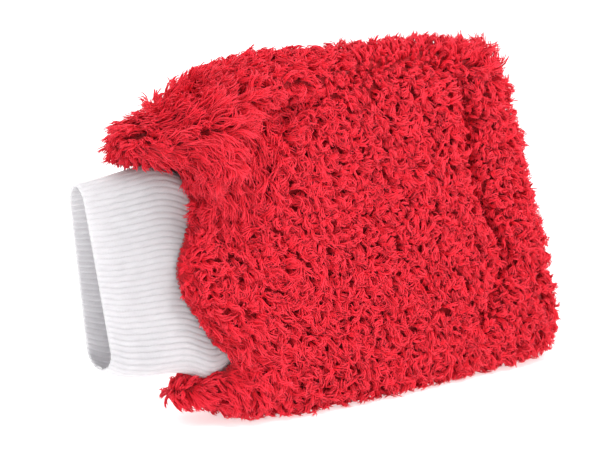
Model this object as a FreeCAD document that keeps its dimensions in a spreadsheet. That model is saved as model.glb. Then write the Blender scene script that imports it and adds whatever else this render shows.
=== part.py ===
import FreeCAD, Part
import Sketcher
import math
import os

# A wash mitt: a pouch of long-pile plush with wadding and a lining, and a ribbed knitted cuff.
# It stands on one long side edge and leans back a little.
#
# Millimetres. The mitt is drawn upright first: X runs from the wrist to the finger end, Y from
# the front panel to the back panel, and Z from the lower side edge to the upper one. Every
# piece then gets the same Placement, which leans the mitt back and puts the middle of its
# foot on the origin, with +Z up.
#
# The pouch is a nest of pillow forms, each a fixed depth inside the one before, and a layer
# is the space between two of them, split into a front and a back half at the seam.

SIZES = {
    # the pouch, measured over its pile
    "pouch_length": 251,
    "pouch_height": 204,
    "pouch_depth": 60,
    "corner_round": 36,
    "shoulder_round": 48,
    "rim_round": 28,
    # its layers
    "pile_depth": 12,
    "ground_knit": 1,
    "padding": 4,
    "lining": 0.8,
    "layer_gap": 0.3,
    "seam_gap": 1.2,
    "thread": 0.6,
    # the fold of plush that stands over the cuff
    "fold_middle": 20,
    "fold_level": 163,
    "fold_half_length": 55,
    "fold_half_height": 36,
    "fold_half_depth": 31,
    # the cuff, a flattened tube
    "cuff_reach": 51,
    "cuff_root": 19,
    "cuff_mouth_height": 98,
    "cuff_mouth_depth": 24,
    "cuff_mouth_level": 92,
    "cuff_root_height": 96,
    "cuff_root_depth": 28,
    "cuff_root_level": 82,
    "cuff_wall": 2.4,
    "cuff_clearance": 1.2,
    # how it stands
    "lean": 12,
    "foot_squash": 8,
}

SHEET = "Sizes"

# How far inside the pile's tips each boundary lies.
PANEL_INNER = "Sizes.pile_depth + Sizes.ground_knit"
PADDING_OUTER = PANEL_INNER + " + Sizes.layer_gap"
PADDING_INNER = PADDING_OUTER + " + Sizes.padding"
LINING_OUTER = PADDING_INNER + " + Sizes.layer_gap"
LINING_INNER = LINING_OUTER + " + Sizes.lining"

doc = FreeCAD.newDocument("wash_mitt")


def make_sheet():
    """The spreadsheet that holds every driving dimension, one row each."""
    sheet = doc.addObject("Spreadsheet::Sheet", SHEET)
    for row, (alias, value) in enumerate(SIZES.items(), start=1):
        sheet.set(f"A{row}", alias)
        sheet.set(f"B{row}", str(value))
        sheet.setAlias(f"B{row}", alias)
    doc.recompute()
    return sheet


def origin_plane(body, role):
    """The body's own origin plane with this role."""
    for feature in body.Origin.OriginFeatures:
        if feature.Role == role:
            return feature
    raise ValueError(role)


def attached_sketch(body, name, role):
    """An empty sketch on one of the body's origin planes."""
    sketch = body.newObject("Sketcher::SketchObject", name)
    sketch.AttachmentSupport = (origin_plane(body, role), [""])
    sketch.MapMode = "FlatFace"
    return sketch


def value(expression):
    """What an expression over the sheet comes to."""
    return float(sheet.evalExpression(expression))


def constrain(sketch, kind, targets, expression):
    """Add a dimension to a sketch and bind it to an expression over the sheet."""
    index = sketch.addConstraint(Sketcher.Constraint(kind, *targets, value(expression)))
    sketch.setExpression(f"Constraints[{index}]", expression)


def rectangle_sketch(body, name, role, sides):
    """A rectangle whose left, bottom, right and top lines stand at the given expressions."""
    sketch = attached_sketch(body, name, role)
    left, bottom, right, top = sides
    corners = []
    for across, up in ((left, bottom), (right, bottom), (right, top), (left, top)):
        corners.append(FreeCAD.Vector(value(across), value(up), 0))
    for start, end in zip(corners, corners[1:] + corners[:1]):
        sketch.addGeometry(Part.LineSegment(start, end), False)
    for line in range(4):
        sketch.addConstraint(Sketcher.Constraint("Coincident", line, 2, (line + 1) % 4, 1))
    for line in (0, 2):
        sketch.addConstraint(Sketcher.Constraint("Horizontal", line))
    for line in (1, 3):
        sketch.addConstraint(Sketcher.Constraint("Vertical", line))
    constrain(sketch, "DistanceX", (-1, 1, 0, 1), left)
    constrain(sketch, "DistanceY", (-1, 1, 0, 1), bottom)
    constrain(sketch, "DistanceX", (-1, 1, 2, 1), right)
    constrain(sketch, "DistanceY", (-1, 1, 2, 1), top)
    return sketch


def edges_that(shape, test):
    """The names of the shape's edges that pass a test on their bounding box."""
    names = []
    for number, edge in enumerate(shape.Edges, start=1):
        if test(edge.BoundBox):
            names.append(f"Edge{number}")
    return names


def fillet(body, name, test, radius):
    """Round the edges of the body's last feature that pass the test."""
    base = body.Tip
    feature = body.newObject("PartDesign::Fillet", name)
    feature.Base = (base, edges_that(base.Shape, test))
    feature.setExpression("Radius", radius)
    doc.recompute()


def pillow(name, inset):
    """The pouch's rounded form, taken in on every side by the inset expression."""
    body = doc.addObject("PartDesign::Body", name)
    sides = (
        inset,
        inset,
        f"Sizes.pouch_length - ({inset})",
        f"Sizes.pouch_height - ({inset})",
    )
    sketch = rectangle_sketch(body, name + "_outline", "XZ_Plane", sides)
    pad = body.newObject("PartDesign::Pad", name + "_pad")
    pad.Profile = sketch
    pad.Midplane = True
    pad.setExpression("Length", f"Sizes.pouch_depth - 2 * ({inset})")
    doc.recompute()
    box = body.Shape.BoundBox

    def at_shoulder(edge):
        upper_wrist = edge.XMax < box.Center.x and edge.ZMin > box.Center.z
        return edge.YLength > box.YLength / 2 and upper_wrist

    def at_corner(edge):
        upright = edge.XMin > box.Center.x or edge.ZMax < box.Center.z
        return edge.YLength > box.YLength / 2 and upright

    def at_rim(edge):
        return edge.YLength < 0.001

    fillet(body, name + "_shoulder", at_shoulder, f"Sizes.shoulder_round - ({inset})")
    fillet(body, name + "_corners", at_corner, f"Sizes.corner_round - ({inset})")
    fillet(body, name + "_rim", at_rim, f"Sizes.rim_round - ({inset})")
    return body


def slot_sketch(body, name, place, level, height, depth):
    """A flattened ring's outline across X: two straight sides closed by half circles."""
    sketch = attached_sketch(body, name, "YZ_Plane")
    sketch.setExpression("AttachmentOffset.Base.z", place)
    normal = FreeCAD.Vector(0, 0, 1)
    radius = f"({depth}) / 2"
    upper = f"({level}) + (({height}) - ({depth})) / 2"
    lower = f"({level}) - (({height}) - ({depth})) / 2"
    high = FreeCAD.Vector(0, value(upper), 0)
    low = FreeCAD.Vector(0, value(lower), 0)
    across = FreeCAD.Vector(value(radius), 0, 0)
    top = Part.Circle(high, normal, value(radius))
    bottom = Part.Circle(low, normal, value(radius))
    sketch.addGeometry(Part.ArcOfCircle(top, 0, math.pi), False)
    sketch.addGeometry(Part.ArcOfCircle(bottom, math.pi, 2 * math.pi), False)
    sketch.addGeometry(Part.LineSegment(high + across, low + across), False)
    sketch.addGeometry(Part.LineSegment(high - across, low - across), False)
    sketch.addConstraint(Sketcher.Constraint("Tangent", 0, 1, 2, 1))
    sketch.addConstraint(Sketcher.Constraint("Tangent", 0, 2, 3, 1))
    sketch.addConstraint(Sketcher.Constraint("Tangent", 1, 2, 2, 2))
    sketch.addConstraint(Sketcher.Constraint("Tangent", 1, 1, 3, 2))
    sketch.addConstraint(Sketcher.Constraint("PointOnObject", 0, 3, -2))
    sketch.addConstraint(Sketcher.Constraint("Vertical", 2))
    constrain(sketch, "Radius", (0,), radius)
    constrain(sketch, "DistanceY", (-1, 1, 0, 3), upper)
    constrain(sketch, "DistanceY", (-1, 1, 1, 3), lower)
    return sketch


def cuff_form(name, grow, past_mouth="0", past_root="0"):
    """The cuff's flattened tube as a solid, grown all round by the grow expression."""
    body = doc.addObject("PartDesign::Body", name)
    sketches = []
    ends = (
        ("mouth", f"-(Sizes.cuff_reach + {past_mouth})"),
        ("root", f"Sizes.cuff_root + {past_root}"),
    )
    for end, place in ends:
        sketches.append(
            slot_sketch(
                body,
                f"{name}_{end}",
                place,
                f"Sizes.cuff_{end}_level",
                f"Sizes.cuff_{end}_height + 2 * ({grow})",
                f"Sizes.cuff_{end}_depth + 2 * ({grow})",
            )
        )
    loft = body.newObject("PartDesign::AdditiveLoft", name + "_loft")
    loft.Profile = sketches[0]
    loft.Sections = [sketches[1]]
    loft.Ruled = True
    doc.recompute()
    return body


def cut(name, base, tool):
    """The base with the tool taken away."""
    feature = doc.addObject("Part::Cut", name)
    feature.Base = base
    feature.Tool = tool
    return feature


def common(name, base, tool):
    """What the base and the tool share."""
    feature = doc.addObject("Part::Common", name)
    feature.Base = base
    feature.Tool = tool
    return feature


def block(name, corner, size):
    """A box from its lowest corner and its size, all given as expressions."""
    box = doc.addObject("Part::Box", name)
    for axis, start, length in zip("xyz", corner, size):
        box.setExpression(f"Placement.Base.{axis}", start)
        box.setExpression({"x": "Length", "y": "Width", "z": "Height"}[axis], length)
    return box


def half_space(name, side):
    """Everything on one side of the seam's gap: side -1 is the front and +1 the back."""
    start = "Sizes.seam_gap / 2" if side > 0 else "-Sizes.seam_gap / 2 - Sizes.pouch_depth"
    corner = ("-Sizes.pouch_length", start, "-Sizes.pouch_height")
    size = ("3 * Sizes.pouch_length", "Sizes.pouch_depth", "3 * Sizes.pouch_height")
    return block(name, corner, size)


def ground():
    """What lies under the leaning mitt: the space that its foot is pressed flat against."""
    lean = math.radians(sheet.lean)
    rim = sheet.rim_round
    arc_height = rim * math.cos(lean) - (sheet.pouch_depth / 2 - rim) * math.sin(lean)
    level = arc_height - rim + sheet.foot_squash
    width = 4 * sheet.pouch_length
    box = doc.addObject("Part::Box", "ground")
    box.Length = width
    box.Width = width
    box.Height = sheet.pouch_height
    tilt = FreeCAD.Rotation(FreeCAD.Vector(1, 0, 0), sheet.lean)
    corner = FreeCAD.Vector(-width / 2, -width / 2, level - sheet.pouch_height)
    box.Placement = FreeCAD.Placement(tilt.multVec(corner), tilt)
    return box


def shoulder_fold():
    """The puff of plush at the upper wrist corner, which stands over the cuff."""
    fold = doc.addObject("Part::Ellipsoid", "shoulder_fold")
    fold.setExpression("Radius1", "Sizes.fold_half_height")
    fold.setExpression("Radius2", "Sizes.fold_half_length")
    fold.setExpression("Radius3", "Sizes.fold_half_depth")
    fold.setExpression("Placement.Base.x", "Sizes.fold_middle")
    fold.setExpression("Placement.Base.z", "Sizes.fold_level")
    return fold


def layer(name, half, outer, inner, trims):
    """One half of the space between two forms, less each trim in turn."""
    piece = common(name + "_half", outer, half)
    for number, tool in enumerate([inner] + trims, start=1):
        piece = cut(f"{name}_cut_{number}", piece, tool)
    return piece


def seam_ribbon(name, inset, trims):
    """A thread run round the pouch in the gap between its halves, at the inset's depth."""
    outer = pillow(name + "_outside", inset)
    inner = pillow(name + "_inside", f"{inset} + Sizes.thread")
    corner = ("-Sizes.pouch_length", "-Sizes.thread / 2", "-Sizes.pouch_height")
    size = ("3 * Sizes.pouch_length", "Sizes.thread", "3 * Sizes.pouch_height")
    slab = block(name + "_slab", corner, size)
    return layer(name, slab, outer, inner, trims)


def cuff_joining_ring():
    """The thread round the cuff's root, in the clearance between the cuff and the pouch."""
    start = "Sizes.layer_gap"
    outer = cuff_form("joining_outside", f"{start} + Sizes.thread")
    inner = cuff_form("joining_inside", start, "1", "1")
    place = f"({PADDING_OUTER})"
    corner = (place, "-Sizes.pouch_depth", "-Sizes.pouch_height")
    size = ("Sizes.thread", "2 * Sizes.pouch_depth", "3 * Sizes.pouch_height")
    slab = block("joining_slab", corner, size)
    return layer("joining", slab, outer, inner, [])


def cuff_side_thread():
    """The thread that closes the cuff's strip into a tube, inside its lower fold."""
    thread = doc.addObject("Part::Cylinder", "cuff_side_run")
    thread.setExpression("Radius", "Sizes.thread / 2")
    thread.setExpression("Height", "Sizes.cuff_reach + Sizes.cuff_root - 2 * Sizes.cuff_wall")
    mouth_fold = sheet.cuff_mouth_level - sheet.cuff_mouth_height / 2
    root_fold = sheet.cuff_root_level - sheet.cuff_root_height / 2
    slope = math.atan2(mouth_fold - root_fold, sheet.cuff_reach + sheet.cuff_root)
    along = FreeCAD.Rotation(FreeCAD.Vector(0, 1, 0), 90 + math.degrees(slope))
    height = mouth_fold + sheet.cuff_wall + sheet.thread
    start = FreeCAD.Vector(sheet.cuff_wall - sheet.cuff_reach, 0, height)
    thread.Placement = FreeCAD.Placement(start, along)
    return thread


def make_pieces():
    """Every sub-part of the mitt, by the name of its node."""
    pouch = pillow("pouch_outer", "0")
    with_fold = doc.addObject("Part::MultiFuse", "pouch_with_fold")
    with_fold.Shapes = [pouch, shoulder_fold()]
    panel_inner = pillow("panel_inner", PANEL_INNER)
    padding_outer = pillow("padding_outer", PADDING_OUTER)
    padding_inner = pillow("padding_inner", PADDING_INNER)
    lining_outer = pillow("lining_outer", LINING_OUTER)
    lining_inner = pillow("lining_inner", LINING_INNER)
    wrist = cuff_form("wrist_passage", "Sizes.cuff_clearance", "40", "40")
    floor = ground()

    pieces = {}
    for side, sign in (("front", -1), ("back", 1)):
        half = half_space(side + "_half_space", sign)
        trims = [wrist, floor]
        pieces[side + "_pile_panel"] = layer(side + "_panel", half, with_fold, panel_inner, trims)
        pieces[side + "_padding"] = layer(side + "_wad", half, padding_outer, padding_inner, [wrist])
        pieces[side + "_lining"] = layer(side + "_skin", half, lining_outer, lining_inner, [wrist])

    cuff_outer = cuff_form("cuff_outer", "0")
    cuff_lumen = cuff_form("cuff_lumen", "-Sizes.cuff_wall", "1", "1")
    pieces["ribbed_cuff"] = cut("cuff_tube", cuff_outer, cuff_lumen)

    pieces["perimeter_seam_thread"] = seam_ribbon("perimeter", "Sizes.pile_depth", [wrist])
    pieces["lining_seam_thread"] = seam_ribbon("lining", LINING_OUTER, [wrist])
    pieces["cuff_joining_seam_thread"] = cuff_joining_ring()
    pieces["cuff_side_seam_thread"] = cuff_side_thread()
    doc.recompute()
    return pieces


def stand_on_floor(pieces):
    """Lean every piece back, then move them all so that the origin is under their middle."""
    tilt = FreeCAD.Placement(
        FreeCAD.Vector(), FreeCAD.Rotation(FreeCAD.Vector(1, 0, 0), -sheet.lean)
    )
    whole = FreeCAD.BoundBox()
    for piece in pieces.values():
        piece.Placement = tilt.multiply(piece.Placement)
        whole.add(piece.Shape.optimalBoundingBox(False))
    middle = FreeCAD.Vector(whole.Center.x, whole.Center.y, whole.ZMin)
    shift = FreeCAD.Placement(middle.negative(), FreeCAD.Rotation())
    for piece in pieces.values():
        piece.Placement = shift.multiply(piece.Placement)
    doc.recompute()
    print("size", whole.XLength, whole.YLength, whole.ZLength)
    print("origin in the upright drawing, leaned", middle)


def check_and_write(pieces):
    """Stop on any failed feature or bad shape, and write each piece to its own STEP file."""
    for item in doc.Objects:
        if "Invalid" in item.State or "Error" in item.State:
            raise RuntimeError(f"{item.Name} failed: {item.State}")
    os.makedirs("parts", exist_ok=True)
    for name, piece in pieces.items():
        shape = piece.Shape
        if shape.isNull() or not shape.isValid():
            raise RuntimeError(f"{name} has no valid shape")
        piece.Label = name
        shape.exportStep(f"parts/{name}.step")
        box = shape.BoundBox
        print(
            f"{name}: solids {len(shape.Solids)}, volume {shape.Volume:.0f},"
            f" x {box.XMin:.1f} {box.XMax:.1f}, y {box.YMin:.1f} {box.YMax:.1f},"
            f" z {box.ZMin:.1f} {box.ZMax:.1f}"
        )


sheet = make_sheet()
pieces = make_pieces()
stand_on_floor(pieces)
check_and_write(pieces)
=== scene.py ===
import math

import bmesh
import bpy
import numpy as np
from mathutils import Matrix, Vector


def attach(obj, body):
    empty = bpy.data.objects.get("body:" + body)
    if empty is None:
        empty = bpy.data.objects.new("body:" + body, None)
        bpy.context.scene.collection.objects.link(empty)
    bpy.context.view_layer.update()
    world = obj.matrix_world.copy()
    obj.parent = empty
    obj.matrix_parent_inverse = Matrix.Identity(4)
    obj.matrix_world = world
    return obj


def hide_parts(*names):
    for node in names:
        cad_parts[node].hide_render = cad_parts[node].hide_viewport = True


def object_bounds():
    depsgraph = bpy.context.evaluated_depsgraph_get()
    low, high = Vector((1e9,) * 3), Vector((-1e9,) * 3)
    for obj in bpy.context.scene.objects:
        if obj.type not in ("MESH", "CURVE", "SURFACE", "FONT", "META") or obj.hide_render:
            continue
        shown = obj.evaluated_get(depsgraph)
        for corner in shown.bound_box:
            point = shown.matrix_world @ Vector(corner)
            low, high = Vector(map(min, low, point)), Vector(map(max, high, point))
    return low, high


# The looks of the wash mitt. Everything is sculpted upright, in millimetres, as the design
# is: x from the wrist to the finger end, y from the front panel to the back panel, z across
# the mitt's width. to_world() then leans it back and puts it where the CAD stands, in metres.

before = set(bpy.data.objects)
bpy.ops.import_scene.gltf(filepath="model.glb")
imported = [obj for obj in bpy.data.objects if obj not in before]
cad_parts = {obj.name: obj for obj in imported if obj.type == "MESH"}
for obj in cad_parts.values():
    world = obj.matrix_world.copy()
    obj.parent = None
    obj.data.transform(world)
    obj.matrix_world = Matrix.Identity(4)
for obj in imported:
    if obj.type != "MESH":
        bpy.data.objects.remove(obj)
CAD_LOW, CAD_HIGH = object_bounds()

RNG = np.random.default_rng(20)
MM = 0.001

LEAN = math.radians(12)
POUCH_LENGTH = 251
POUCH_HEIGHT = 204
HALF_DEPTH = 30
RIM_ROUND = 28

GROUND_HALF_DEPTH = 20.5   # the ground knit's, on the flat of the pouch
SEAM_GAP = 0.5             # from the middle plane to each layer at the seams
GROUND_RIM = 22            # how far in from the outline the ground knit is still rounding
OUTLINE_STEPS = 360
RIM_RINGS = 10
FLAT_RINGS = 26
GROUND_KNIT = (0, 0.9)     # each layer's two faces, as depths under the ground knit's outside
WADDING = (1.3, 5.0)
LINING = (5.6, 6.3)
LINER_TRIM = 5             # how far the wadding and lining stop short of the wrist's edge
FLOOR_GAP = 0.0008         # metres, the lowest that the cloth layers come to the floor
PILE_FLOOR_GAP = 0.0003    # metres, the same for the pile

TUFT_AREA = 7.6            # mm2 of ground knit for each tuft of pile
TUFT_RADIUS = 1.35
STRANDS_PER_TUFT = 8
STRAND_STEPS = 6
STRAND_RADIUS = 0.42
STRANDS_PER_PIECE = 5800
TUFTS_PER_LOCK = 5         # where the pile is long and straight, tufts cling together in locks
SHADE_BANDS = 48           # how many shades the strands are dyed in

STITCH_RADIUS = 0.25
THREAD_SIDES = 6


# ---------------------------------------------------------------- small tools

def smooth(low, high, x):
    """0 below low, 1 above high, and a smooth step between."""
    t = np.clip((x - low) / (high - low), 0, 1)
    return t * t * (3 - 2 * t)


def unit(v):
    """Vectors along the last axis, made one long."""
    return v / np.maximum(np.linalg.norm(v, axis=-1, keepdims=True), 1e-9)


def closed_curve(points, count):
    """A smooth closed curve through the points, as count evenly spaced ones."""
    points = np.asarray(points, float)
    before, after, later = (np.roll(points, shift, 0) for shift in (1, -1, -2))
    t = np.linspace(0, 1, 24, endpoint=False)[:, None, None]
    fine = 0.5 * (
        2 * points
        + (after - before) * t
        + (2 * before - 5 * points + 4 * after - later) * t**2
        + (3 * points - before - 3 * after + later) * t**3
    )
    fine = fine.transpose(1, 0, 2).reshape(-1, points.shape[1])
    return resample(np.vstack([fine, fine[:1]]), count + 1)[:-1]


def resample(points, count):
    """A path as count evenly spaced points, its ends kept."""
    points = np.asarray(points, float)
    run = np.concatenate([[0], np.cumsum(np.linalg.norm(np.diff(points, axis=0), axis=1))])
    stops = np.linspace(0, run[-1], count)
    return np.stack([np.interp(stops, run, column) for column in points.T], 1)


def path_distance(points, path):
    """The distance of each point from a path, and the path's direction at its nearest place."""
    points, path = np.asarray(points, float), np.asarray(path, float)
    best = np.full(len(points), 1e9)
    along = np.zeros_like(points)
    for start, end in zip(path[:-1], path[1:]):
        run = end - start
        t = np.clip((points - start) @ run / (run @ run), 0, 1)
        gap = np.linalg.norm(points - (start + t[:, None] * run), axis=1)
        nearer = gap < best
        best[nearer] = gap[nearer]
        along[nearer] = run / np.linalg.norm(run)
    return best, along


def region_depth(points, corners):
    """How far inside a region each point is, and negative outside it."""
    ring = np.vstack([corners, corners[:1]]).astype(float)
    gap, _ = path_distance(points, ring)
    inside = np.zeros(len(points), bool)
    for (x0, z0), (x1, z1) in zip(ring[:-1], ring[1:]):
        spans = (z0 > points[:, 1]) != (z1 > points[:, 1])
        rise = np.where(z1 == z0, 1e-9, z1 - z0)
        inside ^= spans & (points[:, 0] < (x1 - x0) * (points[:, 1] - z0) / rise + x0)
    return np.where(inside, gap, -gap)


def upright_origin():
    """Where the upright drawing's origin stands in the frame, from the CAD's own box."""
    flat_half = HALF_DEPTH - RIM_ROUND
    rise = POUCH_HEIGHT - RIM_ROUND
    back = RIM_ROUND + flat_half * math.cos(LEAN) + rise * math.sin(LEAN)
    top = RIM_ROUND + rise * math.cos(LEAN) + flat_half * math.sin(LEAN)
    reach = np.array([POUCH_LENGTH, back, top])
    return np.array(CAD_HIGH) / MM - reach


ORIGIN = upright_origin()


def to_world(points):
    """Upright millimetres to the frame's metres."""
    x, y, z = np.moveaxis(np.asarray(points, float), -1, 0)
    leaned = np.stack(
        [x, y * math.cos(LEAN) + z * math.sin(LEAN), z * math.cos(LEAN) - y * math.sin(LEAN)], -1
    )
    return (leaned + ORIGIN) * MM


def lift_off_floor(world, clearance):
    """Points below the floor are pressed onto it, the lower ones less far up."""
    soft = 0.004
    above = world[..., 2] - clearance - soft
    pressed = clearance + soft * np.exp(np.minimum(above, 0) / soft)
    world[..., 2] = np.where(above < 0, pressed, world[..., 2])
    return world


def new_piece(name, points, faces, material, nodes, uv=None):
    """A mesh object from world points and triangles or quads, riding on the mitt."""
    mesh = bpy.data.meshes.new(name)
    faces = np.asarray(faces, np.int32)
    corners = faces.shape[1]
    mesh.vertices.add(len(points))
    mesh.vertices.foreach_set("co", np.asarray(points, np.float32).ravel())
    mesh.loops.add(faces.size)
    mesh.loops.foreach_set("vertex_index", faces.ravel())
    mesh.polygons.add(len(faces))
    mesh.polygons.foreach_set("loop_start", np.arange(0, faces.size, corners, dtype=np.int32))
    mesh.polygons.foreach_set("use_smooth", np.full(len(faces), True))
    if uv is not None:
        layer = mesh.uv_layers.new(name="OFBake")
        layer.data.foreach_set("uv", np.asarray(uv, np.float32)[faces.ravel()].ravel())
    mesh.update(calc_edges=True)
    mesh.validate()
    piece = bpy.data.objects.new(name, mesh)
    bpy.context.collection.objects.link(piece)
    mesh.materials.append(material)
    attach(piece, "root")
    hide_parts(*nodes)
    return piece


# ---------------------------------------------------------------- the pouch's shape

# The seam line round the pouch: x, z, and how far the wrist edge stands off the middle.
OUTLINE = [
    (3, 27, 0), (16, 20, 0), (30, 12, 0), (60, 6, 0), (120, 5, 0), (185, 7, 0),
    (222, 11, 0), (234, 20, 0), (235, 43, 0), (233, 76, 0), (227, 110, 0), (221, 145, 0),
    (214, 170, 0), (204, 188, 0), (172, 196, 0), (120, 196, 0), (70, 197, 0), (37, 192, 0),
    (11, 180, 0), (-7, 169, 0), (-20, 161, 0), (-20, 153, 3), (-3, 142, 9), (8, 129, 13),
    (4, 113, 14), (-4, 93, 14), (-1, 76, 14), (8, 59, 14), (10, 47, 13), (6, 36, 10),
]
LOBE = (-3, 26)            # the middle of the rounded lobe at the wrist's lower corner
LOBE_SET_BACK = 8          # how far behind the cuff it sits
THIN_PLACES = [(-8, 26), (-22, 158)]   # the tips of the pouch that the layers thin out in
WRIST_START = 21           # the outline's points from this one on are the wrist's edge
# Places where the cloth is drawn along the mitt at the wrist: x, z, how far, and its reach each way.
PULLS = [(4, 24, -14, 20, 5), (11, 39, 16, 24, 9), (-22, 160, -2, 30, 7), (-4, 146, 14, 30, 7)]
SPINE = ((64, 108), (168, 106))   # the line along the pouch's middle that its rings close on
SPINE_STEP = 4             # the upper and lower halves share points on it, this far apart
MID_LEVEL = 107            # its height, near enough

# The plump fold of plush over the cuff, the hollow below it, and the crease in the front panel.
FOLD = [
    (-45, 146), (-40, 185), (0, 205), (40, 212), (112, 212), (112, 185), (90, 181), (66, 178),
    (44, 173), (30, 164), (22, 153), (15, 140), (8, 132), (0, 138), (-10, 147),
]
TONGUE = [(60, 162), (47, 150), (38, 132), (30, 106)]
CREASE = [
    (112, 184), (136, 189), (160, 190), (180, 180), (184, 150), (184, 112), (196, 84),
    (200, 66), (188, 50), (180, 38),
]

# How the pile is combed where it isn't just curly:
# x, z, heading along and up, spread of headings in radians, length in mm, curl.
COMBING = [
    (-38, 157, -1.00, -0.10, 0.35, 11, 0.5),
    (-31, 164, -0.85, -0.50, 0.30, 12, 0.4),
    (-19, 170, -0.50, -0.85, 0.25, 15, 0.6),
    (-8, 172, -0.20, -1.00, 0.20, 17, 0.6),
    (1, 182, 0.25, -0.95, 0.30, 16, 0.7),
    (3, 168, 0.75, -0.65, 0.20, 20, 0.5),
    (12, 161, 0.97, -0.25, 0.15, 20, 0.5),
    (20, 168, 0.80, -0.60, 0.15, 20, 0.5),
    (12, 181, 0.80, -0.60, 0.25, 17, 0.7),
    (28, 178, 0.90, -0.40, 0.20, 16, 0.6),
    (34, 194, 0.90, 0.20, 0.60, 12, 1.0),
    (60, 190, 0.80, -0.50, 0.50, 12, 0.9),
    (62, 180, 0.55, -0.85, 0.35, 13, 0.7),
    (-4, 158, 1.00, -0.15, 0.20, 15, 0.5),
    (-24, 154, -0.20, -0.60, 0.40, 8, 0.5),
    (-11, 152, 0.90, -0.30, 0.30, 11, 0.6),
    (-2, 147, 0.80, -0.50, 0.25, 10, 0.5),
    (8, 143, 0.45, -0.90, 0.25, 13, 0.5),
    (37, 162, -0.10, -1.00, 0.12, 19, 0.2),
    (32, 147, -0.15, -1.00, 0.12, 19, 0.2),
    (26, 132, -0.25, -1.00, 0.14, 17, 0.2),
    (18, 124, 0.00, -1.00, 0.20, 14, 0.4),
    (45, 150, -0.10, -1.00, 0.20, 16, 0.4),
    (5, 117, 0.25, -0.95, 0.50, 11, 1.2),
    (-1, 98, 0.85, 0.30, 0.50, 10, 1.2),
    (2, 85, 0.80, -0.60, 0.50, 10, 1.3),
    (4, 70, 0.60, -0.80, 0.50, 11, 1.2),
    (18, 60, 0.90, -0.40, 0.25, 13, 0.5),
    (24, 45, 0.70, -0.70, 0.35, 13, 0.6),
    (22, 30, 0.90, -0.30, 0.25, 13, 0.5),
    (34, 36, 0.70, -0.70, 0.35, 13, 0.7),
    (-10, 28, 0.35, -0.90, 0.15, 6, 0.4),
    (-2, 22, 0.80, -0.60, 0.25, 11, 0.4),
    (12, 31, 0.60, -0.80, 0.25, 6, 0.4),
    (14, 17, 1.00, -0.20, 0.30, 12, 0.5),
    (70, 12, -0.10, -1.00, 0.60, 14, 1.1),
    (115, 11, -0.10, -1.00, 0.60, 14, 1.1),
    (160, 11, 0.00, -1.00, 0.60, 13, 1.1),
    (40, 82, 0.85, -0.50, 0.40, 12, 1.0),
    (50, 59, 0.50, -0.85, 0.50, 11, 1.2),
    (60, 100, 0.50, -0.85, 0.50, 11, 1.2),
    (212, 190, 0.70, 0.70, 0.55, 18, 0.6),
]
CURLY = (0.05, -1.0, 0.65, 11.5, 1.7)   # the same for everywhere else


def waves(x, z, seed, height, length):
    """Soft unevenness: a few crossing waves of about this height and length."""
    random = np.random.default_rng(seed)
    total = np.zeros_like(x)
    for _ in range(7):
        angle, phase = random.uniform(0, 2 * math.pi, 2)
        pitch = length * random.uniform(0.6, 1.5)
        total += np.sin((x * math.cos(angle) + z * math.sin(angle)) * 2 * math.pi / pitch + phase)
    return total * height / 2.6


def relief(x, z, inset, side):
    """How much further out than a plain pillow the ground knit stands."""
    flat = np.stack([x, z], 1)
    away_from_rim = smooth(0, 18, inset)
    out = waves(x, z, 3 + side, 1.3, 60)
    in_fold = smooth(-3, 6, region_depth(flat, FOLD))
    if side < 0:
        crease_gap, _ = path_distance(flat, CREASE)
        out += 16 * in_fold
        out -= 10 * np.exp(-((crease_gap / 5.5) ** 2))
        out -= 5 * np.exp(-((path_distance(flat, TONGUE)[0] / 9) ** 2)) * (1 - in_fold)
    else:
        out += 3 * in_fold
    return out * away_from_rim


def spine_place(flat):
    """The place on the pouch's middle line level with each flat place."""
    x = np.clip(flat[:, 0], SPINE[0][0], SPINE[1][0])
    return np.stack([x, np.full(len(flat), float(MID_LEVEL))], 1)


def pulled(flat):
    """Flat places after the cloth is drawn along the mitt near the wrist."""
    moved = flat.copy()
    for x, z, reach, wide, tall in PULLS:
        gap = ((flat[..., 0] - x) / wide) ** 2 + ((flat[..., 1] - z) / tall) ** 2
        moved[..., 0] += reach * np.exp(-gap)
    return moved


def set_back(points):
    """The pouch with the lobe at the wrist's lower corner moved back behind the cuff."""
    moved = points.copy()
    gap = ((moved[..., 0] - LOBE[0]) / 20) ** 2 + ((moved[..., 2] - LOBE[1]) / 10) ** 2
    moved[..., 1] += LOBE_SET_BACK * np.exp(-gap)
    return moved


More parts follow.
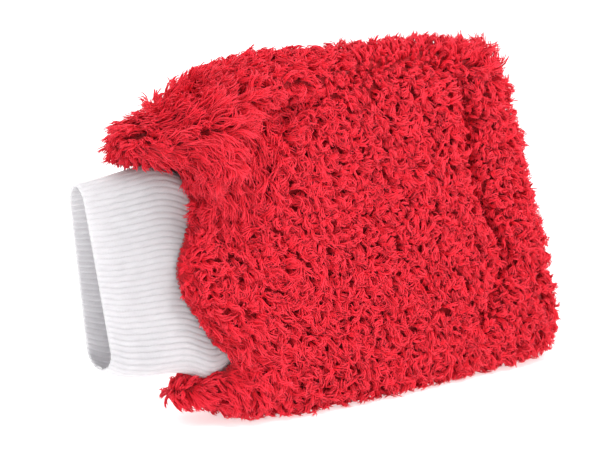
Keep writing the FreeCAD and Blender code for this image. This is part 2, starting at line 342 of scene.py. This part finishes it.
def pouch_grid(side, inward, trim=0):
    """One side of the pouch as rings of points from its edge to its spine.

    side is -1 for the front and 1 for the back, inward takes the whole form in by that
    much, and trim takes only the wrist's edge back. Returns the points, ring by ring, and
    each one's distance in from the edge.
    """
    outline = closed_curve(OUTLINE, OUTLINE_STEPS)
    edge, stand_off = outline[:, :2], np.maximum(outline[:, 2], 0)
    (start_x, start_z), (end_x, end_z) = SPINE
    middle = edge.copy()
    middle[:, 0] = np.clip(edge[:, 0], start_x, end_x)
    middle[:, 0] = np.round(middle[:, 0] / SPINE_STEP) * SPINE_STEP
    middle[:, 1] = np.interp(middle[:, 0], [start_x, end_x], [start_z, end_z])
    span = np.linalg.norm(middle - edge, axis=1)
    heading = (middle - edge) / span[:, None]

    rim_angles = np.linspace(0, math.pi / 2, RIM_RINGS + 1)
    insets = [np.full(OUTLINE_STEPS, GROUND_RIM * (1 - math.cos(a))) for a in rim_angles]
    for t in np.linspace(0, 1, FLAT_RINGS + 1)[1:]:
        insets.append(GROUND_RIM + (span - GROUND_RIM) * t)
    rings, plain_rings = [], []
    for inset in insets:
        inset = inset + trim * smooth(0, 6, stand_off) * np.clip(1 - inset / GROUND_RIM, 0, 1)
        place = edge + heading * inset[:, None]
        round_off = np.clip(1 - inset / GROUND_RIM, 0, 1)
        share = np.sqrt(1 - round_off**2)
        plain = GROUND_HALF_DEPTH + 2.5 * smooth(0, 60, inset)
        full = plain + relief(place[:, 0], place[:, 1], inset, side)
        place = pulled(place)
        for kept, height in ((rings, full), (plain_rings, plain)):
            out = stand_off + (height - stand_off) * share
            kept.append(np.stack([place[:, 0], side * out, place[:, 1]], 1))
    grid = np.array(rings)
    depth = np.full(grid.shape[:2], float(inward))
    for x, z in THIN_PLACES:
        gap = np.hypot(grid[..., 0] - x, grid[..., 2] - z)
        depth *= 1 - 0.75 * np.exp(-((gap / 15) ** 2))
    grid = grid - grid_normals(np.array(plain_rings), side) * depth[..., None]
    return grid, np.array(insets)


def grid_normals(grid, side):
    """Outward normals of a pouch side's grid."""
    around = np.roll(grid, -1, 1) - np.roll(grid, 1, 1)
    across = np.gradient(grid, axis=0)
    normal = unit(np.cross(around, across)) * -side
    normal[-1] = (0, side, 0)
    return normal


def grid_faces(rings, steps, offset=0, flip=False):
    """Quads between rings of points, each ring closed on itself."""
    ring, step = np.meshgrid(np.arange(rings - 1), np.arange(steps), indexing="ij")
    following = (step + 1) % steps
    corners = [
        ring * steps + step,
        ring * steps + following,
        (ring + 1) * steps + following,
        (ring + 1) * steps + step,
    ]
    quads = np.stack(corners, -1).reshape(-1, 4) + offset
    return quads[:, ::-1] if flip else quads


def layer_shell(name, side, depths, trim, material, node):
    """A closed layer of one side of the pouch, between two depths under the ground knit."""
    outer, inner = (pouch_grid(side, depth, trim)[0] for depth in depths)
    for grid in (outer, inner):
        grid[..., 1] = side * np.maximum(side * grid[..., 1], SEAM_GAP)
    rings, steps = outer.shape[:2]
    count = rings * steps
    points = np.concatenate([outer.reshape(-1, 3), inner.reshape(-1, 3)])
    step = np.arange(steps)
    following = (step + 1) % steps
    rim = np.stack([step, step + count, following + count, following], 1)
    front = side < 0
    faces = np.concatenate(
        [
            grid_faces(rings, steps, 0, flip=not front),
            grid_faces(rings, steps, count, flip=front),
            rim if front else rim[:, ::-1],
        ]
    )
    world = lift_off_floor(to_world(set_back(points)), FLOOR_GAP)
    piece = new_piece(name, world, faces, material, [node])
    weld(piece, 0.02)
    return piece


def weld(piece, gap):
    """Join points within the gap, in millimetres, and drop empty faces."""
    work = bmesh.new()
    work.from_mesh(piece.data)
    bmesh.ops.remove_doubles(work, verts=work.verts, dist=gap * MM)
    bmesh.ops.dissolve_degenerate(work, dist=0.001 * MM, edges=work.edges)
    bmesh.ops.recalc_face_normals(work, faces=work.faces)
    work.to_mesh(piece.data)
    work.free()


# ---------------------------------------------------------------- the pile

def scatter(side, area_each):
    """Random places over one side's ground knit, with what grows there needs to know."""
    grid, insets = pouch_grid(side, 0)
    normals = grid_normals(grid, side)
    rings, steps = grid.shape[:2]
    quads = grid_faces(rings, steps)
    triangles = np.stack([quads[:, :3], quads[:, [0, 2, 3]]], 1).reshape(-1, 3)
    points, normals = grid.reshape(-1, 3), normals.reshape(-1, 3)
    a, b, c = (points[triangles[:, k]] for k in range(3))
    areas = np.linalg.norm(np.cross(b - a, c - a), axis=1) / 2
    middles = ((a + b + c) / 3)[:, [0, 2]]
    gap, _ = path_distance(middles, wrist_edge())
    lobe_gap = np.linalg.norm(middles - LOBE, axis=1)
    areas = areas * (1 + 0.5 * smooth(14, 5, gap) + 1.2 * smooth(20, 10, lobe_gap))
    count = int(areas.sum() / area_each)
    stops = (np.arange(count) + RNG.random(count)) / count * areas.sum()
    chosen = np.minimum(np.searchsorted(np.cumsum(areas), stops), len(areas) - 1)
    u, v = RNG.random((2, count))
    over = u + v > 1
    u[over], v[over] = 1 - u[over], 1 - v[over]
    weights = np.stack([1 - u - v, u, v], 1)[..., None]
    corner = triangles[chosen]
    place = (points[corner] * weights).sum(1)
    normal = unit((normals[corner] * weights).sum(1))
    inset = (insets.reshape(-1)[corner] * weights[..., 0]).sum(1)
    return place, normal, inset


def combed(flat):
    """The heading, spread, length and curl of the pile at flat places, from the combing."""
    rows = np.array(COMBING, float)
    gaps = ((flat[:, None] - rows[None, :, :2]) ** 2).sum(-1)
    weights = 1 / (gaps + 20) ** 2
    rest = np.full((len(flat), 1), 1 / (300.0 + 20) ** 2)
    weights = np.hstack([weights, rest])
    weights /= weights.sum(1, keepdims=True)
    return weights @ np.vstack([rows[:, 2:], CURLY])


def wrist_edge():
    """The ground knit's edge round the wrist, flat."""
    return pulled(np.array(OUTLINE, float)[WRIST_START:, :2])


def groom(place, normal, inset, side):
    """How each tuft lies: the way out of the cloth, the heading, and its traits in columns.

    The traits are spread of headings, length, curl, lean at the root and lean at the tip.
    """
    flat = place[:, [0, 2]]
    traits = combed(flat)
    heading, spread, length, curl = unit(traits[:, :2]), traits[:, 2], traits[:, 3], traits[:, 4]
    in_fold = smooth(-2, 6, region_depth(flat, FOLD))
    sleek = smooth(0.55, 0.15, spread)
    root_lean = 0.30 + 0.40 * sleek
    tip_lean = 2.20 - 0.55 * sleek

    wrist_gap, _ = path_distance(flat, wrist_edge())
    wrist = smooth(11, 3, wrist_gap)
    facing = np.tile([0.30, side * 0.95, 0.0], (len(place), 1))
    normal = unit(normal * (1 - wrist)[:, None] + facing * wrist[:, None])
    root_lean += (0.75 - root_lean) * wrist
    tip_lean += (1.75 - tip_lean) * wrist

    middle = spine_place(flat)
    rim = smooth(16, 4, inset) * (1 - wrist) * (1 - 0.85 * in_fold)
    rim *= smooth(14, 30, np.linalg.norm(flat - LOBE, axis=1))
    heading = unit(heading * (1 - 0.75 * rim)[:, None] + unit(flat - middle) * (0.75 * rim)[:, None])
    root_lean += (0.1 - root_lean) * rim
    tip_lean += (1.3 - tip_lean) * rim

    if side < 0:
        heading, length = part_at_creases(flat, middle, in_fold, heading, length)

    direction = np.stack([heading[:, 0], np.zeros(len(flat)), heading[:, 1]], 1)
    direction -= normal * (direction * normal).sum(1, keepdims=True)
    return normal, unit(direction), (spread, length, curl, root_lean, tip_lean)


def part_at_creases(flat, middle, in_fold, heading, length):
    """The front's pile, shorter in its creases and combed away from them on both sides."""
    crease_gap, _ = path_distance(flat, CREASE)
    away = np.where((region_depth(flat, CREASE) > 0)[:, None], middle - flat, flat - middle)
    near = np.exp(-((crease_gap / 7) ** 2)) * (1 - in_fold) * 0.8
    fold_edge = np.exp(-(((region_depth(flat, FOLD) + 2) / 5) ** 2)) * smooth(12, 40, flat[:, 0])
    length = length * (1 - 0.5 * fold_edge)
    length = length * (1 - 0.65 * near)
    return unit(heading * (1 - near)[:, None] + unit(away) * near[:, None]), length


def lock_pull(place, share):
    """How far the tips of each tuft are drawn sideways, towards the middle of its lock."""
    seeds = place[RNG.choice(len(place), len(place) // TUFTS_PER_LOCK, replace=False)]
    pull = np.zeros_like(place)
    for chosen in np.array_split(np.flatnonzero(share > 0.02), 20):
        gaps = ((place[chosen, None] - seeds[None]) ** 2).sum(-1)
        pull[chosen] = (seeds[gaps.argmin(1)] - place[chosen]) * share[chosen, None]
    return 0.7 * pull


def strand_paths(side, area_each):
    """The centre line of every strand of one side's pile, its sideways way, and its shade."""
    place, normal, inset = scatter(side, area_each)
    normal, direction, traits = groom(place, normal, inset, side)
    spread, length, curl, root_lean, tip_lean = traits
    tufts = len(place)
    swing = RNG.normal(0, 1, tufts) * spread
    swing += waves(place[:, 0], place[:, 2], 31 + side, 0.45, 17) * smooth(0.1, 0.6, spread)
    length = length * RNG.uniform(0.7, 1.2, tufts)
    root_lean = root_lean + RNG.normal(0, 0.2, tufts) + waves(place[:, 0], place[:, 2], 37, 0.1, 14)
    root_lean = np.abs(root_lean)
    tip_lean = tip_lean + RNG.normal(0, 0.25, tufts)
    hook = RNG.normal(0, 1.1, tufts) * curl + waves(place[:, 0], place[:, 2], 41 + side, 0.7, 22)
    wave = RNG.uniform(0.3, 1.0, tufts) * np.clip(curl + 0.35, 0.3, 1.2)
    phase = RNG.uniform(0, 2 * math.pi, tufts)
    shade = RNG.random(tufts)
    lock = lock_pull(place, smooth(0.45, 0.2, spread))

    tuft = np.repeat(np.arange(tufts), STRANDS_PER_TUFT)
    count = len(tuft)
    swing = swing[tuft] + RNG.normal(0, 0.10, count)
    length = length[tuft] * RNG.uniform(0.8, 1.1, count)
    root_lean = root_lean[tuft] + RNG.normal(0, 0.10, count)
    tip_lean = tip_lean[tuft] + RNG.normal(0, 0.15, count)
    hook = hook[tuft] + RNG.normal(0, 0.2, count)
    phase = phase[tuft] + RNG.normal(0, 0.3, count)
    normal, direction = normal[tuft], direction[tuft]
    beside = np.cross(normal, direction)
    around = RNG.uniform(0, 2 * math.pi, count)[:, None]
    off = TUFT_RADIUS * np.sqrt(RNG.random(count))[:, None]
    off = off * (direction * np.cos(around) + beside * np.sin(around))

    position = place[tuft] - normal * 0.3
    path = [position + off]
    for step in range(STRAND_STEPS):
        t = (step + 0.5) / STRAND_STEPS
        lean = (root_lean + (tip_lean - root_lean) * t**1.3)[:, None]
        azimuth = swing + hook * t + wave[tuft] * np.sin(phase + 7 * t)
        sideways = direction * np.cos(azimuth)[:, None] + beside * np.sin(azimuth)[:, None]
        heading = normal * np.cos(lean) + sideways * np.sin(lean)
        position = position + heading * (length / STRAND_STEPS)[:, None]
        done = (step + 1) / STRAND_STEPS
        path.append(position + off * (1 - 0.6 * done) + lock[tuft] * done)
    across = -np.sin(swing)[:, None] * direction + np.cos(swing)[:, None] * beside
    shade = 0.65 * shade[tuft] + 0.35 * RNG.random(count)
    return np.stack(path, 1), across, shade


def strand_mesh(paths, across, shade):
    """Closed three-sided strands that taper to a point: world points, triangles, and places in the dye
    and in the painted root shade.
    """
    count, knots = paths.shape[:2]
    tangent = unit(np.gradient(paths, axis=1))
    first = across[:, None] - tangent * (across[:, None] * tangent).sum(-1, keepdims=True)
    first = unit(first)
    second = np.cross(tangent, first)
    t = np.linspace(0, 1, knots)
    radius = STRAND_RADIUS * (0.9 + 0.3 * t - 0.75 * t**3)
    radius = radius * RNG.uniform(0.8, 1.15, (count, 1))
    body = knots - 1
    corners = np.arange(3) * 2 * math.pi / 3
    ring = first[:, :body, None] * np.cos(corners)[:, None]
    ring = ring + second[:, :body, None] * np.sin(corners)[:, None]
    points = paths[:, :body, None] + ring * radius[:, :body, None, None]
    points = np.concatenate([points.reshape(count, -1, 3), paths[:, -1:]], 1)

    size = body * 3 + 1
    triangles = [(0, 2, 1)]
    for level in range(body - 1):
        for corner in range(3):
            a = level * 3 + corner
            b = level * 3 + (corner + 1) % 3
            triangles += [(a, b, b + 3), (a, b + 3, a + 3)]
    last = (body - 1) * 3
    for corner in range(3):
        triangles.append((last + corner, last + (corner + 1) % 3, size - 1))
    triangles = np.array(triangles)[None] + (np.arange(count) * size)[:, None, None]

    band = np.floor(shade * SHADE_BANDS)[:, None]
    inside_band = np.append(np.tile([0.2, 0.5, 0.8], body), 0.5)[None]
    along = np.append(np.repeat(t[:body], 3), 1.0)
    uv = np.empty((count, size, 2))
    uv[..., 0] = (band + inside_band) / SHADE_BANDS
    # The second place runs from root to tip and carries the painted shade at the root.
    uv[..., 1] = 0.02 + 0.96 * along
    return points.reshape(-1, 3), triangles.reshape(-1, 3), uv.reshape(-1, 2)


def grow_pile(name, side, material, node):
    """All the pile of one side, in strips along the mitt so that no piece is too large."""
    area_each = TUFT_AREA * 1
    paths, across, shade = strand_paths(side, area_each)
    order = np.argsort(paths[:, 0, 0], kind="stable")
    strips = math.ceil(len(order) / STRANDS_PER_PIECE)
    for number, chosen in enumerate(np.array_split(order, strips), start=1):
        points, faces, uv = strand_mesh(paths[chosen], across[chosen], shade[chosen])
        world = lift_off_floor(to_world(set_back(points)), PILE_FLOOR_GAP)
        new_piece(f"{name}_{number:02d}", world, faces, material, [node], uv)


# ---------------------------------------------------------------- the cuff

CUFF_MOUTH = -51
CUFF_ROOT = 30
CUFF_RIBS = 75
RIB_SAMPLES = 8
RIB_DEPTH = 0.48
CUFF_HALF_WALL = 0.95
# The cuff's top, bottom and half thickness along it: x, then the value there.
CUFF_TOP = [(-51, 142.5), (-30, 145), (-10, 148), (0, 146), (21, 134), (30, 131)]
CUFF_BOTTOM = [
    (-51, 47), (-44, 42), (-29, 39.5), (-15, 38.5), (-2, 37.5), (7, 33), (12, 30.5), (21, 34), (30, 37),
]
CUFF_HALF_OPEN = [(-51, 10.5), (-35, 11), (-15, 12), (30, 12.4)]
MOUTH_GAPE = 0.3           # how much wider the mouth opens at its bottom than halfway up
MOUTH_SLANT = 2.5          # how far the mouth's front edge lies back from its back edge
MOUTH_SLOPE = 3.0          # how far the mouth's bottom lies back from its top


def profile(table, x):
    """A table's value at x, its corners rounded."""
    return np.interp(x + np.linspace(-4, 4, 9), *np.array(table, float).T).mean()


def flattened_ring(half_height, half_open, steps):
    """A ring with two straight sides and round ends: y, z, outward angle, and distance round."""
    straight = half_height - half_open
    quarter = math.pi / 2 * half_open
    run = np.linspace(0, 4 * (straight + quarter), steps, endpoint=False)
    turns = np.array([0, straight, straight + 2 * quarter, 3 * straight + 2 * quarter,
                      3 * straight + 4 * quarter, 4 * straight + 4 * quarter])
    y = np.empty(steps)
    z = np.empty(steps)
    part = np.clip(np.searchsorted(turns, run, side="right") - 1, 0, 4)
    angle = np.zeros(steps)
    for p in range(5):
        here = part == p
        s = run[here] - turns[p]
        if p == 0:
            y[here], z[here], angle[here] = half_open, s, 0
        elif p == 1:
            a = s / half_open
            y[here], z[here], angle[here] = half_open * np.cos(a), straight + half_open * np.sin(a), a
        elif p == 2:
            y[here], z[here], angle[here] = -half_open, straight - s, math.pi
        elif p == 3:
            a = math.pi + s / half_open
            y[here], z[here], angle[here] = half_open * np.cos(a), -straight + half_open * np.sin(a), a
        else:
            y[here], z[here], angle[here] = half_open, -straight + s, 0
    return y, z, angle, run


def cuff_ring(x, out, steps):
    """The cuff's flattened ring at x, moved out by this much, with its rib grooves."""
    top = profile(CUFF_TOP, x)
    bottom = profile(CUFF_BOTTOM, x)
    half_open = profile(CUFF_HALF_OPEN, x)
    half_height = (top - bottom) / 2
    y, z, angle, run = flattened_ring(half_height, half_open, steps)
    rib = (np.arange(steps) % RIB_SAMPLES) / RIB_SAMPLES
    groove = np.exp(-((np.minimum(rib, 1 - rib) / 0.15) ** 2))
    slack = 0.5 * waves(np.full(steps, float(x)), run, 11, 1.0, 45) * smooth(0, 20, x - CUFF_MOUTH)
    push = out - groove * RIB_DEPTH * np.sign(out + 1e-6) + slack
    y = y + np.cos(angle) * push
    z = z + np.sin(angle) * push
    near_mouth = smooth(0, -CUFF_MOUTH, -x)
    y = y * (1 - MOUTH_GAPE * near_mouth * z / half_height)
    along = x + MOUTH_SLANT * near_mouth * (1 - y / half_open) / 2
    along += MOUTH_SLOPE * near_mouth * (1 - z / half_height) / 2
    return np.stack([along, y, z + (top + bottom) / 2], 1)


def knitted_cuff(material):
    """The ribbed tube, folded double at its mouth: out along the outside and back inside."""
    steps = CUFF_RIBS * RIB_SAMPLES
    lengths = np.linspace(CUFF_ROOT, CUFF_MOUTH + CUFF_HALF_WALL, 44)
    rings = [cuff_ring(x, CUFF_HALF_WALL, steps) for x in lengths]
    for angle in np.linspace(math.pi / 2, -math.pi / 2, 9)[1:-1]:
        x = CUFF_MOUTH + CUFF_HALF_WALL - CUFF_HALF_WALL * math.cos(angle)
        rings.append(cuff_ring(x, CUFF_HALF_WALL * math.sin(angle), steps))
    rings += [cuff_ring(x, -CUFF_HALF_WALL, steps) for x in lengths[::-1]]
    grid = np.array(rings)
    count = len(rings)
    faces = grid_faces(count, steps)
    step = np.arange(steps)
    following = (step + 1) % steps
    last = (count - 1) * steps
    closing = np.stack([last + step, last + following, following, step], 1)
    faces = np.concatenate([faces, closing])
    piece = new_piece(
        "knitted_cuff", to_world(grid.reshape(-1, 3)), faces, material, ["ribbed_cuff"]
    )
    weld(piece, 0.001)
    return piece


# ---------------------------------------------------------------- threads

def thread_tube(name, paths, material, node):
    """Round threads along paths of upright points, each closed at both ends."""
    start_caps = np.array([(0, 1, 2, 3), (3, 4, 5, 0)])
    end_caps = start_caps[:, ::-1]
    all_points, all_faces, used = [], [], 0
    for path in paths:
        path = np.asarray(path, float)
        tangent = unit(np.gradient(path, axis=0))
        up = np.where(np.abs(tangent[:, 1:2]) < 0.8, [[0.0, 1.0, 0.0]], [[1.0, 0.0, 0.0]])
        first = unit(np.cross(tangent, up))
        second = np.cross(tangent, first)
        turn = np.arange(THREAD_SIDES) * 2 * math.pi / THREAD_SIDES
        ring = first[:, None] * np.cos(turn)[:, None] + second[:, None] * np.sin(turn)[:, None]
        points = path[:, None] + ring * STITCH_RADIUS
        all_points.append(points.reshape(-1, 3))
        all_faces.append(grid_faces(len(path), THREAD_SIDES, used))
        all_faces.append(used + start_caps)
        used += len(path) * THREAD_SIDES
        all_faces.append(used - THREAD_SIDES + end_caps)
    world = lift_off_floor(to_world(np.concatenate(all_points)), 0.0005)
    new_piece(name, world, np.concatenate(all_faces), material, [node])


def overlock(path, across, pitch, width, samples=8):
    """A looping stitch that goes to and fro over an edge: path, its sideways vectors, sizes."""
    path = np.asarray(path, float)
    length = np.linalg.norm(np.diff(path, axis=0), axis=1).sum()
    count = int(length / pitch) * samples
    centre = resample(path, count)
    side = resample(np.asarray(across, float), count)
    phase = np.arange(count) * 2 * math.pi / samples
    forward = unit(np.gradient(centre, axis=0))
    return centre + side * (np.cos(phase) * width)[:, None] + forward * (np.sin(2 * phase) * 0.3)[:, None]


def seam_threads(materials):
    """The stitches of the four seams."""
    outline = closed_curve(OUTLINE, OUTLINE_STEPS)
    closed_part = outline[:, 2] < 1
    start = np.flatnonzero(closed_part & ~np.roll(closed_part, 1))[0]
    run = np.roll(outline, -start, 0)[: closed_part.sum()]
    for name, inward, slot, node in (
        ("perimeter_stitches", 0.6, "red_thread", "perimeter_seam_thread"),
        ("lining_stitches", 8.5, "white_thread", "lining_seam_thread"),
    ):
        heading = unit(spine_place(run) - run[:, :2])
        flat = run[:, :2] + heading * inward
        path = np.stack([flat[:, 0], np.zeros(len(flat)), flat[:, 1]], 1)
        across = np.tile([0.0, 1.0, 0.0], (len(path), 1))
        stitches = set_back(overlock(path, across, 3.0, 1.3))
        thread_tube(name, [stitches], materials[slot], node)

    wrist = np.roll(outline, -start, 0)[closed_part.sum():]
    wrist[:, :2] = pulled(wrist[:, :2])
    loops = []
    for side in (-1, 1):
        path = np.stack([wrist[:, 0] + 0.2, side * (wrist[:, 2] + 0.1), wrist[:, 1]], 1)
        across = np.tile([1.0, 0.0, 0.0], (len(path), 1))
        loops.append(set_back(overlock(path, across, 2.6, 1.0)))
    thread_tube("cuff_joining_stitches", loops, materials["red_thread"],
                "cuff_joining_seam_thread")

    along = np.linspace(-48, 14, 60)
    level = np.interp(along, *np.array(CUFF_BOTTOM, float).T) + 3.2
    path = np.stack([along, np.zeros(60), level], 1)
    across = np.tile([0.0, 1.0, 0.0], (60, 1))
    thread_tube("cuff_side_stitches", [overlock(path, across, 2.6, 1.0)],
                materials["white_thread"], "cuff_side_seam_thread")


# ---------------------------------------------------------------- materials

class Nodes:
    """A material's node tree, with short calls to add and join nodes."""

    def __init__(self, name, roughness, sheen, sheen_roughness=0.5, specular=0.3):
        self.material = bpy.data.materials.new(name)
        self.material.use_nodes = True
        self.tree = self.material.node_tree
        self.shader = self.tree.nodes["Principled BSDF"]
        self.shader.inputs["Roughness"].default_value = roughness
        self.shader.inputs["Sheen Weight"].default_value = sheen
        self.shader.inputs["Sheen Roughness"].default_value = sheen_roughness
        self.shader.inputs["Specular IOR Level"].default_value = specular

    def add(self, kind, **settings):
        node = self.tree.nodes.new(kind)
        for key, value in settings.items():
            if key in node.inputs:
                node.inputs[key].default_value = value
            else:
                setattr(node, key, value)
        return node

    def join(self, source, target):
        self.tree.links.new(source, target)

    def place(self):
        return self.add("ShaderNodeTexCoord").outputs["Object"]

    def noise(self, scale, detail=2.0, vector=None):
        node = self.add("ShaderNodeTexNoise", Scale=scale, Detail=detail)
        self.join(vector or self.place(), node.inputs["Vector"])
        return node.outputs["Fac"]

    def ramp(self, factor, stops):
        node = self.add("ShaderNodeValToRGB")
        elements = node.color_ramp.elements
        while len(elements) < len(stops):
            elements.new(0.5)
        for element, (at, colour) in zip(elements, stops):
            element.position = at
            element.color = (*colour, 1)
        self.join(factor, node.inputs["Fac"])
        return node.outputs["Color"]

    def bump(self, height, strength, distance):
        node = self.add("ShaderNodeBump", Strength=strength, Distance=distance)
        self.join(height, node.inputs["Height"])
        self.join(node.outputs["Normal"], self.shader.inputs["Normal"])


def plush_material():
    """Polyester pile: each strand dyed its own shade, with painted shade darkening it towards the root,
    where the pile shades itself.
    """
    nodes = Nodes("red_plush", roughness=0.55, sheen=0.7, sheen_roughness=0.5, specular=0.2)
    nodes.shader.inputs["Sheen Tint"].default_value = (1.0, 0.12, 0.16, 1)
    dye = nodes.add("ShaderNodeUVMap", uv_map="OFBake").outputs["UV"]
    parts = nodes.add("ShaderNodeSeparateXYZ")
    nodes.join(dye, parts.inputs["Vector"])
    # Painted shade: the colour darkens from tip to root, for the shade deep in the pile.
    along = nodes.ramp(
        parts.outputs["Y"],
        [(0.0, (0.60, 0.005, 0.014)), (0.35, (0.88, 0.014, 0.034)), (1.0, (1.0, 0.030, 0.062))],
    )
    shade = nodes.ramp(parts.outputs["X"], [(0.0, (0.80, 0.74, 0.74)), (1.0, (1.0, 1.0, 1.0))])
    mix = nodes.add("ShaderNodeMix", data_type="RGBA", blend_type="MULTIPLY")
    colours = [socket for socket in mix.inputs if socket.type == "RGBA"]
    mix.inputs["Factor"].default_value = 1.0
    nodes.join(along, colours[0])
    nodes.join(shade, colours[1])
    mixed = [socket for socket in mix.outputs if socket.type == "RGBA"][0]
    nodes.join(mixed, nodes.shader.inputs["Base Color"])
    return nodes.material


def cloth_material(name, dark, light, stitch_scale, strength, through=0.0):
    """A knitted cloth: rows of stitches as relief, uneven colour, and some light let through."""
    nodes = Nodes(name, roughness=0.85, sheen=0.2, specular=0.2)
    nodes.shader.inputs["Subsurface Weight"].default_value = through
    nodes.shader.inputs["Subsurface Radius"].default_value = (1, 1, 1)
    nodes.shader.inputs["Subsurface Scale"].default_value = 6 * MM
    place = nodes.place()
    colour = nodes.ramp(nodes.noise(140, 3, place), [(0.3, dark), (0.7, light)])
    nodes.join(colour, nodes.shader.inputs["Base Color"])
    rows = nodes.add("ShaderNodeTexWave", wave_type="BANDS", bands_direction="X", Scale=stitch_scale)
    rows.inputs["Distortion"].default_value = 1.5
    rows.inputs["Detail Scale"].default_value = 3.0
    nodes.join(place, rows.inputs["Vector"])
    nodes.bump(rows.outputs["Fac"], strength, 0.0002)
    return nodes.material


def floor_material():
    """Plain white studio paper."""
    nodes = Nodes("studio_paper", roughness=0.9, sheen=0.0, specular=0.0)
    nodes.shader.inputs["Base Color"].default_value = (0.8, 0.8, 0.8, 1)
    nodes.shader.inputs["Emission Color"].default_value = (1, 1, 1, 1)
    nodes.shader.inputs["Emission Strength"].default_value = 0.55
    return nodes.material


def make_materials():
    """Every material, by its slot, and the ground knit's own under the plush."""
    return {
        "plush": plush_material(),
        # The ground knit is really red, but it is set darker than the pile; part of that darkness is
        # painted shade in the gaps between tufts.
        "ground": cloth_material("red_ground_knit", (0.34, 0.005, 0.011), (0.42, 0.008, 0.016), 320, 0.5),
        "wadding": cloth_material("wadding", (0.80, 0.80, 0.78), (0.90, 0.90, 0.88), 60, 0.3),
        "lining_knit": cloth_material("lining_knit", (0.76, 0.75, 0.76), (0.86, 0.85, 0.86), 420, 0.4),
        "rib_knit": cloth_material("rib_knit", (0.50, 0.49, 0.51), (0.54, 0.53, 0.55), 380, 0.35, 1.0),
        "red_thread": cloth_material("red_thread", (0.45, 0.01, 0.02), (0.60, 0.02, 0.035), 900, 0.4),
        "white_thread": cloth_material("white_thread", (0.80, 0.80, 0.80), (0.90, 0.90, 0.90), 900, 0.4),
    }


# ---------------------------------------------------------------- the studio

def aim(item, target):
    """Turn a lamp or the camera towards a point."""
    item.rotation_euler = (Vector(target) - item.location).to_track_quat("-Z", "Y").to_euler()


def soft_light(name, place, target, size, power):
    """A square soft box."""
    data = bpy.data.lights.new(name, "AREA")
    data.size = size
    data.energy = power
    lamp = bpy.data.objects.new(name, data)
    bpy.context.collection.objects.link(lamp)
    lamp.location = place
    aim(lamp, target)


def studio():
    """A white floor and soft light."""
    size = 6.0
    mesh = bpy.data.meshes.new("floor")
    corners = [(-size, -size, 0), (size, -size, 0), (size, size, 0), (-size, size, 0)]
    mesh.from_pydata(corners, [], [(0, 1, 2, 3)])
    mesh.materials.append(floor_material())
    floor = bpy.data.objects.new("floor", mesh)
    bpy.context.collection.objects.link(floor)

    world = bpy.data.worlds.new("studio")
    world.use_nodes = True
    world.node_tree.nodes["Background"].inputs["Color"].default_value = (1, 1, 1, 1)
    world.node_tree.nodes["Background"].inputs["Strength"].default_value = 0.8
    scene = bpy.context.scene
    scene.world = world
    scene.view_settings.view_transform = "Standard"

    middle = (0, 0, 0.1)
    soft_light("key", (0.4, -0.6, 1.6), middle, 0.6, 16)
    soft_light("fill", (1.2, -1.2, 0.45), middle, 0.9, 12)
    soft_light("side", (-1.1, -0.55, 0.35), middle, 0.5, 2.2)
    soft_light("back", (-0.4, 1.2, 1.1), middle, 1.2, 10)


def add_camera():
    """The camera, at the front, to the cuff's side and a little above."""
    yaw, elevation, distance = math.radians(30), math.radians(15), 0.8
    target = Vector((-0.0295, -0.0197, 0.102))
    forward = Vector(
        (math.sin(yaw) * math.cos(elevation), math.cos(yaw) * math.cos(elevation), -math.sin(elevation))
    )
    data = bpy.data.cameras.new("camera")
    data.lens = 87.3
    camera = bpy.data.objects.new("camera", data)
    bpy.context.collection.objects.link(camera)
    camera.location = target - forward * distance
    aim(camera, target)
    bpy.context.scene.camera = camera


# ---------------------------------------------------------------- the mitt

def main():
    """The whole mitt, side by side and layer by layer from the outside in."""
    materials = make_materials()
    studio()
    add_camera()
    for side, front_or_back in ((-1, "front"), (1, "back")):
        panel = front_or_back + "_pile_panel"
        knit = layer_shell(front_or_back + "_ground_knit", side, GROUND_KNIT, 0,
                           materials["ground"], panel)
        pad = layer_shell(front_or_back + "_wadding", side, WADDING, LINER_TRIM,
                          materials["wadding"], front_or_back + "_padding")
        lining = layer_shell(front_or_back + "_lining_sheet", side, LINING, LINER_TRIM,
                             materials["lining_knit"], front_or_back + "_lining")
        grow_pile(front_or_back + "_pile", side, materials["plush"], panel)
    knitted_cuff(materials["rib_knit"])
    seam_threads(materials)


main()
